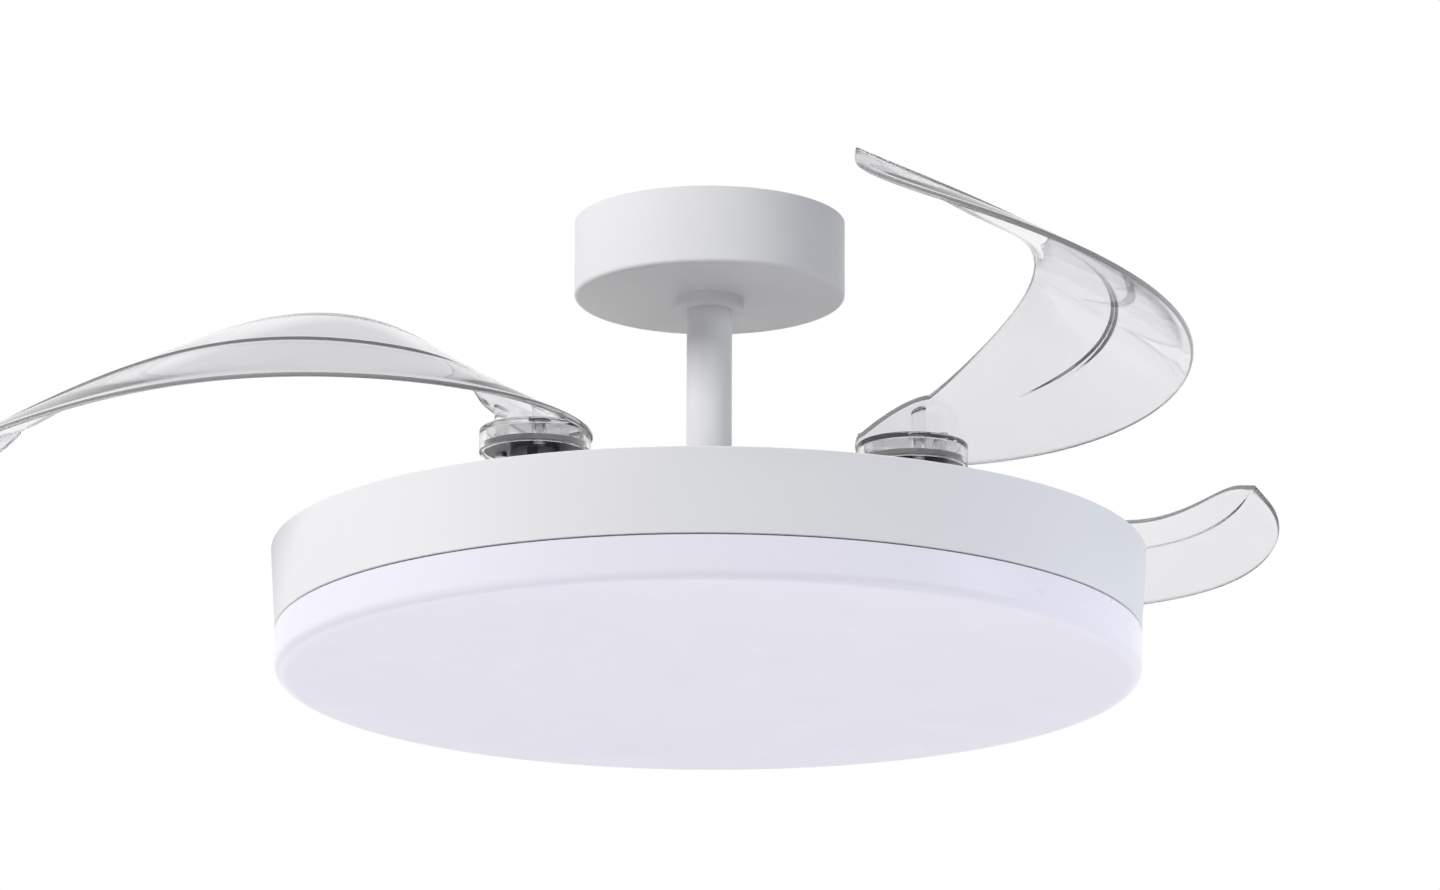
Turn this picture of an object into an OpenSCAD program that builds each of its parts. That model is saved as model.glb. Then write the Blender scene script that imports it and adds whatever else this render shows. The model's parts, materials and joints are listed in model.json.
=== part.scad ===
// Retractable blade ceiling fan with a lamp drum.
// The origin is the centre of the ceiling plate's upper face, and +Z points up,
// so the fan hangs down from z = 0. Blades are drawn open, as when it runs.

/* [Ceiling plate and canopy] */
// Outer radius of the canopy
canopy_r = 79; // [74:1:90]
// Height of the canopy
canopy_h = 46; // [42:1:60]
// Wall of the canopy
canopy_wall = 1.5; // [1:0.5:2.5]
// Radius of the canopy's lower edge
canopy_round = 3; // [2:0.5:6]
// Thickness of the ceiling plate
plate_t = 3; // [2:0.5:4]
// Distance between the two ceiling screws
screw_spacing = 90; // [80:1:96]
// Width of a ceiling screw slot
slot_w = 6.4; // [5:0.2:7]
// End-to-end length of a ceiling screw slot
slot_len = 20; // [12:1:24]
// Radius of the cable hole in the ceiling plate
cable_r = 10; // [6:0.5:11]

/* [Downrod] */
// Outer radius of the rod
rod_r = 13.25; // [12.5:0.25:14]
// Wall of the rod
rod_wall = 2; // [1.5:0.25:2.25]
// Outer radius of the collar under the canopy
collar_r = 20; // [18:1:26]
// Height of the collar under the canopy
collar_h = 7; // [7:1:12]

/* [Drum] */
// Distance from the ceiling down to the drum's top edge
drum_drop = 200; // [192:1:320]
// Outer radius of the drum at its lower edge
drum_r = 250; // [240:1:270]
// How much wider the drum is at its top edge
drum_flare = 3; // [1:0.5:5]
// Height of the drum band
drum_h = 48; // [47:1:60]
// Wall of the drum band
drum_wall = 1.2; // [1:0.1:2]
// Width of the drum's inward lips
drum_lip = 9; // [6:1:12]
// Thickness of the lamp chassis
chassis_t = 1.5; // [1:0.25:2.5]
// Thickness of the seal between drum and diffuser
seal_t = 1; // [0.8:0.2:2]
// Height of the diffuser below the seal
diffuser_h = 25; // [21:0.5:45]
// Wall of the diffuser
diffuser_wall = 2.2; // [1.6:0.2:3]
// Radius of the diffuser's lower edge
diffuser_round = 6; // [5:0.5:12]

/* [Motor] */
// Outer radius of the fixed hollow shaft
shaft_r = 8.5; // [8:0.25:9]
// Radius of the hole through the shaft
shaft_bore_r = 5; // [4:0.5:6]
// Outer radius of a ball bearing
bearing_r = 17.5; // [17:0.25:19]
// Height of a ball bearing
bearing_h = 10; // [9:0.5:10]
// Outer radius of the motor bell
bell_r = 84; // [83:0.5:86]
// Height of the stator core
core_h = 24; // [16:1:25]
// Number of stator teeth
tooth_n = 12; // [9:3:12]
// Number of magnets
magnet_n = 16; // [10:2:20]

/* [Blade carrier] */
// Distance of a blade pivot from the fan's axis
pivot_r = 126; // [124:0.5:130]
// Direction of the front blade's pivot seen from above
pivot_az = -22; // [-60:1:60]
// Angle that a blade swings in from open to folded
fold_angle = 109; // [90:1:110]
// Thickness of the carrier
carrier_t = 7; // [5:0.5:7.5]
// Radius of a blade pivot shaft
pivot_shaft_r = 6; // [5:0.5:6.5]
// Teeth of the shared sync gear
sync_teeth = 81; // [78:3:84]
// Teeth of each blade gear
blade_teeth = 39; // [36:1:42]
// Height of the gears
gear_h = 6; // [4:0.5:6]
// Coils of a return spring
spring_turns = 3; // [2:0.5:3]
// Wire radius of a return spring
spring_wire_r = 0.9; // [0.7:0.1:0.9]

/* [Blade] */
// Length of a blade along its middle line
blade_len = 524; // [440:2:530]
// Thickness of a blade
blade_t = 3; // [2.4:0.2:4]
// Radius of the round root over the pivot
root_r = 33; // [32:0.5:36]
// Height of the clear boss's top above the drum's top edge
root_level = 54.5; // [54:0.5:62.5]
// Height of the clear boss
boss_h = 9.5; // [9:0.5:11.5]
// Height of the sheet's middle over the boss's top, at the pivot
root_rise = 8.5; // [6.5:0.5:9.5]
// Outer radius of the clear boss
boss_r = 32; // [30:0.5:32]
// Climb of the middle line from root to tip
tip_rise = 59; // [50:1:80]
// Height of the rib along the middle line
rib_h = 1.2; // [0.6:0.2:2]
// How far the sheet bulges upwards between its edges
camber = 3; // [0:0.5:6]

/* [Hidden] */
$fn = 96;

white = [0.93, 0.93, 0.94];
steel = [0.62, 0.63, 0.65];
dark = [0.22, 0.23, 0.25];
clear = [0.85, 0.86, 0.9, 0.4];

gap = 0.3;       // clearance between pieces that pass each other
run = 0.06;      // radial clearance of a running fit
eps = 0.01;      // overshoot of a cut

// Heights measured up from the drum's top edge.
cover_top = -7;
chassis_z = -drum_h + drum_wall;
flange_t = 4;
flange_r = 30;
flange_z = chassis_z + chassis_t;
bell_z = flange_z + flange_t + 1.3;
bell_wall = 4;
bell_plate = 3;
lower_bearing_z = bell_z;
core_z = bell_z + 14;
winding_end = 6;
bell_top = core_z + core_h + winding_end + 2;
cap_t = 3;
neck_r = 50;
gear_z = bell_top + cap_t + gap;
carrier_z = gear_z + gear_h + 8.7;
upper_bearing_z = carrier_z - 2 - bearing_h;
pad_r = 26;
bush_flange = 1.5;
bush_wall = 3;
hub_z = carrier_z + carrier_t + bush_flange + gap;
hub_disc_t = 3;
hub_top = root_level - boss_h;
hub_barrel_r = 14;
boss_wall = 4;
boss_seat = 1;
disc_r = boss_r - boss_wall + boss_seat;
rod_bottom = carrier_z + 2;
rod_top = -plate_t - 1;
socket_r = rod_r + 3.5;
socket_h = 37;
coupling_z = rod_bottom + 1;
coupling_h = 27;
shaft_top = coupling_z + coupling_h - 3;
bolt_z = -22;
bolt_r = 3;
pin_r = 3;
pin_len = 2 * rod_r + 6;

// Gears
gear_module = 2 * pivot_r / (sync_teeth + blade_teeth);
sync_r = gear_module * sync_teeth / 2;
blade_gear_r = gear_module * blade_teeth / 2;

// Pivot directions; blade 1 is on the left, 2 in front, 3 behind.
blade_az = [pivot_az - 120, pivot_az, pivot_az + 120];

// Stops: a lug on each hub meets a buffer at either end of the swing.
lug_len = 23;
lug_w = 8;
lug_z = hub_z + 0.7;
lug_h = 5;
buffer_r = 3;
buffer_at = 19.5;
stop_angle = asin((lug_w / 2 + buffer_r + gap) / buffer_at);
lug_az = 180;

// Course of the blade's middle line: heading against the outward direction,
// climb, pitch and half widths, as control values of smooth curves.
heading_ctrl = [38, -90, -107, -27, -192];
scale_up = blade_len / 524;
pitch_ctrl = [20, 54, 14, 28];
root_w = root_r / cos(pitch_ctrl[0]);
climb_ctrl = [0, 27 * scale_up, 77 * scale_up, -38 * scale_up, tip_rise];
inner_ctrl = [root_w, 74 * scale_up, 36 * scale_up, 24 * scale_up];
outer_ctrl = [root_w, 60 * scale_up, 61 * scale_up, 38 * scale_up];
stations = 44;
root_stations = 6;
across = 8;
root_climb = 4 * climb_ctrl[1] / blade_len;
sheet_level = root_level + root_rise;
bow_from = 0.03;
bow_fade = 0.13;
tip_part = 0.12;
tip_power = 2.4;
rib_half = 2.5;
rib_from = 0.14;

// ---------- curves ----------
function choose(n, k) = k == 0 ? 1 : choose(n, k - 1) * (n - k + 1) / k;
function curve(c, s) = let (n = len(c) - 1)
    [for (k = [0 : n]) choose(n, k) * pow(s, k) * pow(1 - s, n - k) * c[k]]
    * [for (k = [0 : n]) 1];
function clamp(v) = min(1, max(0, v));
function bow(s) = let (t = clamp((s - bow_from) / bow_fade))
    t * t * (3 - 2 * t);
function heading(s) = curve(heading_ctrl, s);
function pitch(s) = curve(pitch_ctrl, s);
function climb(s) = curve(climb_ctrl, s);

// Middle line, summed up station by station in plan. The blade ends a little
// before the end of the curves.
keep = 0.97;
step = keep / stations;
function plan_step(k) = let (a = heading((k + 0.5) * step))
    [cos(a), sin(a)] * blade_len / stations;
middle = [for (k = 0, p = [0, 0]; k <= stations; p = p + plan_step(k), k = k + 1)
    [p[0], p[1], climb(k * step)]];

// Share of the width that is left where the tip rounds off.
function tip_share(s) = let (q = clamp((s - keep + tip_part) / tip_part))
    pow(1 - pow(min(q, 0.995), tip_power), 1 / tip_power);

// One cross-section: a closed loop of points round the sheet.
function offsets(wi, wo) = concat(
    [for (k = [0 : across - 1]) -wi + (wi - rib_half) * k / (across - 1)], [0],
    [for (k = [0 : across - 1]) rib_half + (wo - rib_half) * k / (across - 1)]);
function section(c, az, tilt, wi, wo, rib, lift) = let (
        out = [-sin(az) * cos(tilt), cos(az) * cos(tilt), -sin(tilt)],
        up = [-sin(az) * sin(tilt), cos(az) * sin(tilt), cos(tilt)],
        xs = offsets(wi, wo),
        n = len(xs))
    concat(
        [for (k = [0 : n - 1]) sheet_rim(c, out, up, xs[k], wi, wo, 1, rib, lift)],
        [for (k = [n - 1 : -1 : 0])
            sheet_rim(c, out, up, xs[k], wi, wo, -1, rib, lift)]);
function sheet_rim(c, out, up, x, wi, wo, side, rib, lift) = let (
        u = x < 0 ? x / wi : x / wo,
        half = blade_t / 2 * (1 - 0.35 * pow(abs(u), 6)),
        ridge = side > 0 ? rib * max(0, 1 - abs(x) / rib_half) : 0)
    c + out * x + up * (lift * camber * (1 - u * u) + side * half + ridge);

root_rings = [for (k = [0 : root_stations - 1]) let (
        t = 10 + 80 * k / root_stations,
        back = root_r * cos(t),
        az = heading(0))
    section([-cos(az) * back, -sin(az) * back, -root_climb * back], az, pitch(0),
        max(rib_half + 0.7, root_w * pow(sin(t), 2)), root_w * sin(t), 0, 0)];
main_rings = [for (k = [0 : stations]) let (
        s = k * step,
        share = tip_share(s))
    section(middle[k], heading(s), pitch(s), curve(inner_ctrl, s) * share,
        curve(outer_ctrl, s) * share, rib_h * clamp((s - rib_from) / 0.05) * share,
        bow(s))];
blade_rings = concat(root_rings, main_rings);

// Closed skin over a list of equal loops, with a fan of triangles at each end.
function centre(loop) = [for (k = [0 : len(loop) - 1]) 1] * loop / len(loop);
module skin(rings) {
    n = len(rings);
    m = len(rings[0]);
    points = concat([for (r = rings) each r],
        [centre(rings[0]), centre(rings[n - 1])]);
    sides = [for (i = [0 : n - 2], j = [0 : m - 1]) let (
            a = i * m + j,
            b = i * m + (j + 1) % m,
            c = a + m,
            d = b + m)
        each [[a, b, d], [a, d, c]]];
    first = [for (j = [0 : m - 1]) [(j + 1) % m, j, n * m]];
    last = [for (j = [0 : m - 1])
        [(n - 1) * m + j, (n - 1) * m + (j + 1) % m, n * m + 1]];
    polyhedron(points, concat(sides, first, last), convexity = 6);
}

// ---------- placing ----------
module at_drum() {
    translate([0, 0, -drum_drop])
        children();
}
module at_blade(i) {
    at_drum()
        rotate([0, 0, blade_az[i - 1]])
            translate([pivot_r, 0, 0])
                children();
}
module around(n, r, start = 0) {
    for (k = [0 : n - 1])
        rotate([0, 0, start + k * 360 / n])
            translate([r, 0, 0])
                children();
}
module tube(r_out, r_in, z, h) {
    translate([0, 0, z])
        difference() {
            cylinder(r = r_out, h = h);
            translate([0, 0, -1])
                cylinder(r = r_in, h = h + 2);
        }
}
module rod_solid(r, z, h) {
    translate([0, 0, z])
        cylinder(r = r, h = h);
}
module cross_hole(r, z, len) {
    translate([0, 0, z])
        rotate([90, 0, 0])
            cylinder(r = r, h = len, center = true, $fn = 48);
}
module cap_screw(head_r, head_h, shank_r, shank_len) {
    cylinder(r = head_r, h = head_h, $fn = 32);
    translate([0, 0, -shank_len])
        cylinder(r = shank_r, h = shank_len, $fn = 32);
}

// ---------- ceiling parts ----------
tab_w = 14;
tab_out = canopy_r - canopy_wall - gap;
tab_h = 20;
tab_t = 2;
set_screw_z = -13;
set_screw_r = 2;
module ceiling_plate() {
    color(steel)
        difference() {
            union() {
                rod_solid(canopy_r - 13, -plate_t, plate_t);
                translate([-tab_out, -tab_w / 2, -plate_t])
                    cube([2 * tab_out, tab_w, plate_t]);
                for (side = [-1, 1])
                    translate([side * (tab_out - tab_t / 2) - tab_t / 2, -tab_w / 2, -tab_h])
                        cube([tab_t, tab_w, tab_h]);
                rod_solid(socket_r, -plate_t - socket_h, socket_h + eps);
            }
            rod_solid(cable_r, -plate_t - 1, plate_t + 2);
            rod_solid(rod_r + run, -plate_t - socket_h - 1, socket_h + 1);
            for (side = [-1, 1])
                translate([side * screw_spacing / 2, 0, -plate_t - 1])
                    slot(slot_len, slot_w, plate_t + 2);
            for (side = [-1, 1])
                translate([side * tab_out, 0, set_screw_z])
                    rotate([0, 90, 0])
                        cylinder(r = set_screw_r, h = 12, center = true, $fn = 32);
            cross_hole(bolt_r + gap / 2, bolt_z, 2 * socket_r + 2);
        }
}
module slot(length, width, h) {
    reach = (length - width) / 2;
    for (side = [-1, 1])
        translate([side * reach, 0, 0])
            cylinder(r = width / 2, h = h, $fn = 48);
    translate([-reach, -width / 2, 0])
        cube([2 * reach, width, h]);
}
terminal = [32, 14, 12];
terminal_y = 40;
module terminal_block() {
    color(white)
        translate([-terminal[0] / 2, terminal_y - terminal[1] / 2, -plate_t - terminal[2]])
            difference() {
                cube(terminal);
                for (k = [0 : 2])
                    translate([(k + 0.5) * terminal[0] / 3, terminal[1] / 2, -1])
                        cylinder(r = 2, h = 9, $fn = 32);
            }
}
module terminal_screws() {
    color([0.75, 0.62, 0.3])
        for (k = [-1 : 1])
            translate([k * terminal[0] / 3, terminal_y, -plate_t - terminal[2] + 2])
                cylinder(r = 2, h = 6, $fn = 32);
}
module canopy() {
    r = canopy_r;
    b = canopy_round;
    w = canopy_wall;
    hole = rod_r + 1;
    color(white)
        difference() {
            rotate_extrude()
                difference() {
                    union() {
                        translate([hole, -canopy_h])
                            square([r - b - hole, b + 1]);
                        translate([r - b, -canopy_h + b])
                            circle(r = b, $fn = 48);
                        translate([r - b - 1, -canopy_h + b])
                            square([b + 1, canopy_h - b]);
                    }
                    translate([hole - 1, -canopy_h + w])
                        square([r - b - hole + 1, canopy_h]);
                    translate([hole - 1, -canopy_h + b])
                        square([r - w - hole + 1, canopy_h]);
                    translate([r - b, -canopy_h + b])
                        circle(r = b - w, $fn = 48);
                }
            translate([0, 0, set_screw_z])
                rotate([0, 90, 0])
                    cylinder(r = set_screw_r + 0.2, h = 2 * r + 2, center = true, $fn = 32);
        }
}
module canopy_screws() {
    color(steel)
        for (side = [0, 180])
            rotate([0, 0, side])
                translate([canopy_r - 7.5, 0, set_screw_z])
                    rotate([0, 90, 0])
                        cylinder(r = set_screw_r - 0.02, h = 7.4, $fn = 32);
}
collar_screw_z = -canopy_h - 3;
collar_screw_r = 1.3;
module canopy_collar() {
    round_r = 1.8;
    inner = rod_r + run;
    color(white)
        difference() {
            rotate_extrude()
                union() {
                    translate([inner, -canopy_h - collar_h + round_r])
                        square([collar_r - inner, collar_h - round_r]);
                    translate([inner, -canopy_h - collar_h])
                        square([collar_r - inner - round_r, round_r]);
                    translate([collar_r - round_r, -canopy_h - collar_h + round_r])
                        circle(r = round_r, $fn = 48);
                }
            translate([0, 0, collar_screw_z])
                rotate([-90, 0, 0])
                    cylinder(r = collar_screw_r, h = collar_r + 1, $fn = 32);
        }
}
module collar_screw() {
    color(steel)
        translate([0, rod_r + run, collar_screw_z])
            rotate([-90, 0, 0])
                cylinder(r = collar_screw_r - 0.02, h = collar_r - rod_r - 0.6, $fn = 32);
}
module downrod() {
    length = rod_top + drum_drop - rod_bottom;
    color(white)
        difference() {
            rod_solid(rod_r, rod_top - length, length);
            rod_solid(rod_r - rod_wall, rod_top - length - 1, length + 2);
            cross_hole(bolt_r + gap / 2, bolt_z, 2 * rod_r + 2);
            cross_hole(pin_r + 0.02, pin_z - drum_drop, 2 * rod_r + 2);
        }
}
module hanger_bolt() {
    color(steel)
        translate([0, -socket_r, bolt_z])
            rotate([90, 0, 0])
                union() {
                    cylinder(r = 5.5, h = 4, $fn = 6);
                    translate([0, 0, -2 * socket_r - 8])
                        cylinder(r = bolt_r, h = 2 * socket_r + 8, $fn = 48);
                }
}
module hanger_nut() {
    color(steel)
        translate([0, socket_r, bolt_z])
            rotate([-90, 0, 0])
                difference() {
                    cylinder(r = 5.8, h = 5, $fn = 6);
                    translate([0, 0, -1])
                        cylinder(r = bolt_r, h = 7, $fn = 48);
                }
}

// ---------- shaft and motor ----------
pin_z = coupling_z + coupling_h / 2;
module shaft_coupling() {
    color(steel)
        at_drum()
            difference() {
                tube(rod_r - rod_wall - 0.02, shaft_r + 0.02, coupling_z, coupling_h);
                cross_hole(pin_r + 0.02, pin_z, 3 * rod_r);
            }
}
module coupling_pin() {
    color(dark)
        at_drum()
            difference() {
                union() {
                    cross_hole(pin_r, pin_z, pin_len);
                    translate([0, -pin_len / 2 + 1.5, pin_z])
                        rotate([90, 0, 0])
                            cylinder(r = pin_r + 1.6, h = 1.5, $fn = 48);
                }
                translate([0, pin_len / 2 - 2.2, pin_z])
                    rotate([90, 0, 0])
                        tube(pin_r + 1, pin_r - 0.6, -0.5, 1);
            }
}
module coupling_clip() {
    color(steel)
        at_drum()
            translate([0, pin_len / 2 - 2.2, pin_z])
                rotate([90, 0, 0])
                    difference() {
                        tube(pin_r + 2, pin_r - 0.55, -0.4, 0.8);
                        translate([-1.2, 0, -1])
                            cube([2.4, pin_r + 4, 2]);
                    }
}
nut_h = 5;
module motor_shaft() {
    color(steel)
        at_drum()
            difference() {
                union() {
                    rod_solid(shaft_r, chassis_z - nut_h, shaft_top - chassis_z + nut_h);
                    rod_solid(flange_r, flange_z, flange_t);
                }
                rod_solid(shaft_bore_r, chassis_z - nut_h - 1, shaft_top - chassis_z + nut_h + 2);
                cross_hole(pin_r + 0.02, pin_z, 3 * shaft_r);
                around(3, flange_r - 5)
                    rod_solid(2.5, flange_z - 1, flange_t + 2);
            }
}
module shaft_nut() {
    color(steel)
        at_drum()
            translate([0, 0, chassis_z - nut_h])
                difference() {
                    cylinder(r = 16, h = nut_h, $fn = 6);
                    translate([0, 0, -1])
                        cylinder(r = shaft_r + 0.02, h = nut_h + 2);
                }
}
magnet_t = 4;
magnet_out = bell_r - bell_wall - 0.05;
core_r = magnet_out - magnet_t - 1;
tooth_w = 12;
slot_from = 36;
slot_to = core_r - 8;
function flank(x) = x * tan(180 / tooth_n) - tooth_w / 2 / cos(180 / tooth_n);
module stator_core() {
    half_mouth = 2;
    color(steel)
        at_drum()
            translate([0, 0, core_z])
                linear_extrude(core_h)
                    difference() {
                        circle(r = core_r);
                        circle(r = shaft_r + 0.02);
                        for (k = [0 : tooth_n - 1])
                            rotate((k + 0.5) * 360 / tooth_n)
                                polygon([[slot_from, flank(slot_from)], [slot_to, flank(slot_to)],
                                    [slot_to + 2, half_mouth], [core_r + 1, half_mouth],
                                    [core_r + 1, -half_mouth], [slot_to + 2, -half_mouth],
                                    [slot_to, -flank(slot_to)], [slot_from, -flank(slot_from)]]);
                    }
}
module stator_windings() {
    coil_t = 3.2;
    from = slot_from + 3;
    w = tooth_w / 2 + coil_t;
    color([0.72, 0.42, 0.2])
        at_drum()
            for (k = [0 : tooth_n - 1])
                rotate([0, 0, k * 360 / tooth_n])
                    translate([from, 0, core_z + core_h / 2])
                        rotate([90, 0, 90])
                            linear_extrude(slot_to - 2 - from)
                                difference() {
                                    union() {
                                        square([2 * w, core_h + 2 * winding_end - 8], center = true);
                                        square([2 * w - 8, core_h + 2 * winding_end], center = true);
                                        for (x = [-1, 1], y = [-1, 1])
                                            translate([x * (w - 4), y * (core_h / 2 + winding_end - 4)])
                                                circle(r = 4, $fn = 32);
                                    }
                                    square([tooth_w, core_h], center = true);
                                }
}
bell_screw_r = 1.25;
module motor_bell() {
    inner = bell_r - bell_wall;
    color(dark)
        at_drum()
            difference() {
                rotate_extrude()
                    polygon([[bearing_r, bell_z], [bell_r, bell_z], [bell_r, bell_top],
                        [inner, bell_top], [inner, bell_z + bell_plate],
                        [bearing_r + 4.5, bell_z + bell_plate],
                        [bearing_r + 4.5, bell_z + bearing_h], [bearing_r, bell_z + bearing_h]]);
                around(6, bell_r - bell_wall / 2)
                    rod_solid(bell_screw_r, bell_top - 8, 9);
                around(8, 48, 22.5)
                    rod_solid(7, bell_z - 1, bell_plate + 2);
            }
}
module rotor_cap() {
    top = carrier_z;
    seat = upper_bearing_z;
    color(dark)
        at_drum()
            difference() {
                rotate_extrude()
                    polygon([[bell_r, bell_top], [bell_r, bell_top + cap_t],
                        [neck_r, bell_top + cap_t], [neck_r, top], [shaft_r + 3.5, top],
                        [shaft_r + 3.5, seat + bearing_h], [bearing_r, seat + bearing_h],
                        [bearing_r, seat], [bearing_r + 4.5, seat], [bearing_r + 4.5, top - 4],
                        [neck_r - 4, top - 4], [neck_r - 4, bell_top]]);
                around(6, bell_r - bell_wall / 2)
                    rod_solid(bell_screw_r, bell_top - 1, cap_t + 2);
                around(6, bell_r - bell_wall / 2)
                    translate([0, 0, bell_top + cap_t - 1.2])
                        cylinder(r1 = bell_screw_r, r2 = 2.5, h = 1.2 + eps, $fn = 32);
                around(6, 36, 30)
                    rod_solid(2, top - 5, 6);
            }
}
module bell_screws() {
    color(steel)
        at_drum()
            around(6, bell_r - bell_wall / 2)
                union() {
                    rod_solid(bell_screw_r - 0.02, bell_top - 7, 7 + cap_t);
                    translate([0, 0, bell_top + cap_t - 1.2])
                        cylinder(r1 = bell_screw_r - 0.02, r2 = 2.45, h = 1.2, $fn = 32);
                }
}
module rotor_magnets() {
    share = 0.86;
    half = 180 / magnet_n * share;
    far = 2 * bell_r;
    color([0.45, 0.46, 0.5])
        at_drum()
            translate([0, 0, core_z])
                linear_extrude(core_h)
                    for (k = [0 : magnet_n - 1])
                        rotate(k * 360 / magnet_n)
                            intersection() {
                                difference() {
                                    circle(r = magnet_out);
                                    circle(r = magnet_out - magnet_t);
                                }
                                polygon([[0, 0], [far, -far * tan(half)], [far, far * tan(half)]]);
                            }
}
ball_r = 2.9;
ball_at = (shaft_r + bearing_r) / 2;
race_inner = ball_at - 1.7;
race_outer = ball_at + 1.7;
module race(r_in, r_out, z) {
    difference() {
        tube(r_out, r_in, z, bearing_h);
        translate([0, 0, z + bearing_h / 2])
            rotate_extrude()
                translate([ball_at, 0])
                    circle(r = ball_r + 0.1, $fn = 48);
    }
}
module bearing_inner_races() {
    color(steel)
        at_drum()
            for (z = [lower_bearing_z, upper_bearing_z])
                race(shaft_r, race_inner, z);
}
module bearing_outer_races() {
    color(steel)
        at_drum()
            for (z = [lower_bearing_z, upper_bearing_z])
                race(race_outer, bearing_r, z);
}
module bearing_balls() {
    color(steel)
        at_drum()
            for (z = [lower_bearing_z, upper_bearing_z])
                around(8, ball_at)
                    translate([0, 0, z + bearing_h / 2])
                        sphere(r = ball_r, $fn = 32);
}

// ---------- blade carrier and swing drive ----------
arm_w = 40;
carrier_r = 58;
bush_r = pivot_shaft_r + bush_wall;
module blade_carrier() {
    color(steel)
        at_drum()
            difference() {
                translate([0, 0, carrier_z])
                    linear_extrude(carrier_t)
                        difference() {
                            union() {
                                circle(r = carrier_r);
                                for (az = blade_az)
                                    rotate(az) {
                                        translate([0, -arm_w / 2])
                                            square([pivot_r, arm_w]);
                                        translate([pivot_r, 0])
                                            circle(r = pad_r);
                                    }
                            }
                            circle(r = rod_r + 5);
                            for (az = blade_az)
                                rotate(az)
                                    translate([pivot_r, 0])
                                        circle(r = bush_r);
                        }
                around(6, 36, 30)
                    rod_solid(2.2, carrier_z - 1, carrier_t + 2);
                for (az = blade_az, a = stop_dirs())
                    rotate([0, 0, az])
                        translate([pivot_r, 0, 0])
                            rotate([0, 0, a])
                                translate([buffer_at, 0, 0])
                                    rod_solid(1.5, carrier_z - 1, carrier_t + 2);
            }
}
function stop_dirs() = [lug_az + stop_angle, lug_az - fold_angle - stop_angle];
module carrier_screws() {
    color(dark)
        at_drum()
            around(6, 36, 30)
                translate([0, 0, carrier_z + carrier_t])
                    cap_screw(3.6, 3.5, 1.98, carrier_t + 4);
}
module pivot_bushes() {
    color([0.72, 0.6, 0.35])
        for (i = [1 : 3])
            at_blade(i) {
                difference() {
                    union() {
                        rod_solid(bush_r, carrier_z, carrier_t);
                        rod_solid(bush_r + 4, carrier_z + carrier_t, bush_flange);
                    }
                    rod_solid(pivot_shaft_r + run, carrier_z - 1, carrier_t + bush_flange + 2);
                }
            }
}
module stop_buffers() {
    color([0.15, 0.15, 0.16])
        for (i = [1 : 3])
            at_blade(i)
                for (a = stop_dirs())
                    rotate([0, 0, a])
                        translate([buffer_at, 0, 0])
                            union() {
                                rod_solid(1.48, carrier_z, carrier_t);
                                rod_solid(buffer_r, carrier_z + carrier_t, 8);
                            }
}
// Return spring: one helix of round wire about the pivot shaft.
spring_r = pivot_shaft_r + 4;
spring_steps = 16;
spring_sides = 6;
spring_room = carrier_z - gear_z - gear_h - 0.3;
spring_pitch = (spring_room - 2 * spring_wire_r) / spring_turns;
spring_z = gear_z + gear_h + 0.15 + spring_wire_r;
echo(spring_gap = spring_pitch - 2 * spring_wire_r);
spring_rings = [for (k = [0 : spring_turns * spring_steps]) let (
        a = k * 360 / spring_steps,
        z = spring_z + spring_pitch * k / spring_steps)
    [for (j = [0 : spring_sides - 1]) let (b = -j * 360 / spring_sides)
        [(spring_r + spring_wire_r * cos(b)) * cos(a),
            (spring_r + spring_wire_r * cos(b)) * sin(a),
            z + spring_wire_r * sin(b)]]];
module return_springs() {
    color(steel)
        for (i = [1 : 3])
            at_blade(i)
                skin(spring_rings);
}

// A spur gear of straight-sided teeth, with some backlash.
module gear(teeth, bore_r, turn) {
    r = gear_module * teeth / 2;
    tip = r + 0.85 * gear_module;
    foot = r - 1.1 * gear_module;
    half_foot = 0.36 * gear_module * PI;
    half_tip = 0.13 * gear_module * PI;
    translate([0, 0, gear_z])
        linear_extrude(gear_h)
            rotate(turn)
                difference() {
                    union() {
                        circle(r = foot);
                        for (k = [0 : teeth - 1])
                            rotate(k * 360 / teeth)
                                polygon([[foot - 1, half_foot], [foot, half_foot - 0.2],
                                    [tip, half_tip], [tip, -half_tip],
                                    [foot, -half_foot + 0.2], [foot - 1, -half_foot]]);
                    }
                    circle(r = bore_r);
                }
}
module sync_gear() {
    color([0.85, 0.83, 0.75])
        at_drum()
            rotate([0, 0, pivot_az])
                gear(sync_teeth, neck_r + run, 0);
}
// The blade gear shows the sync gear a gap where that has a tooth.
module blade_gear(i) {
    color([0.85, 0.83, 0.75])
        at_blade(i)
            gear(blade_teeth, pivot_shaft_r + 0.02, 180 + 180 / blade_teeth);
}
module blade_gear_1() { blade_gear(1); }
module blade_gear_2() { blade_gear(2); }
module blade_gear_3() { blade_gear(3); }

post_r = 2.5;
module pivot_shaft(i) {
    head_z = gear_z - 2;
    color(steel)
        at_blade(i)
            union() {
                rod_solid(pivot_shaft_r + 3, head_z, 2);
                rod_solid(pivot_shaft_r, head_z, hub_top - head_z);
                rod_solid(post_r, hub_top - eps, 5);
            }
}
module pivot_shaft_1() { pivot_shaft(1); }
module pivot_shaft_2() { pivot_shaft(2); }
module pivot_shaft_3() { pivot_shaft(3); }

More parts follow.
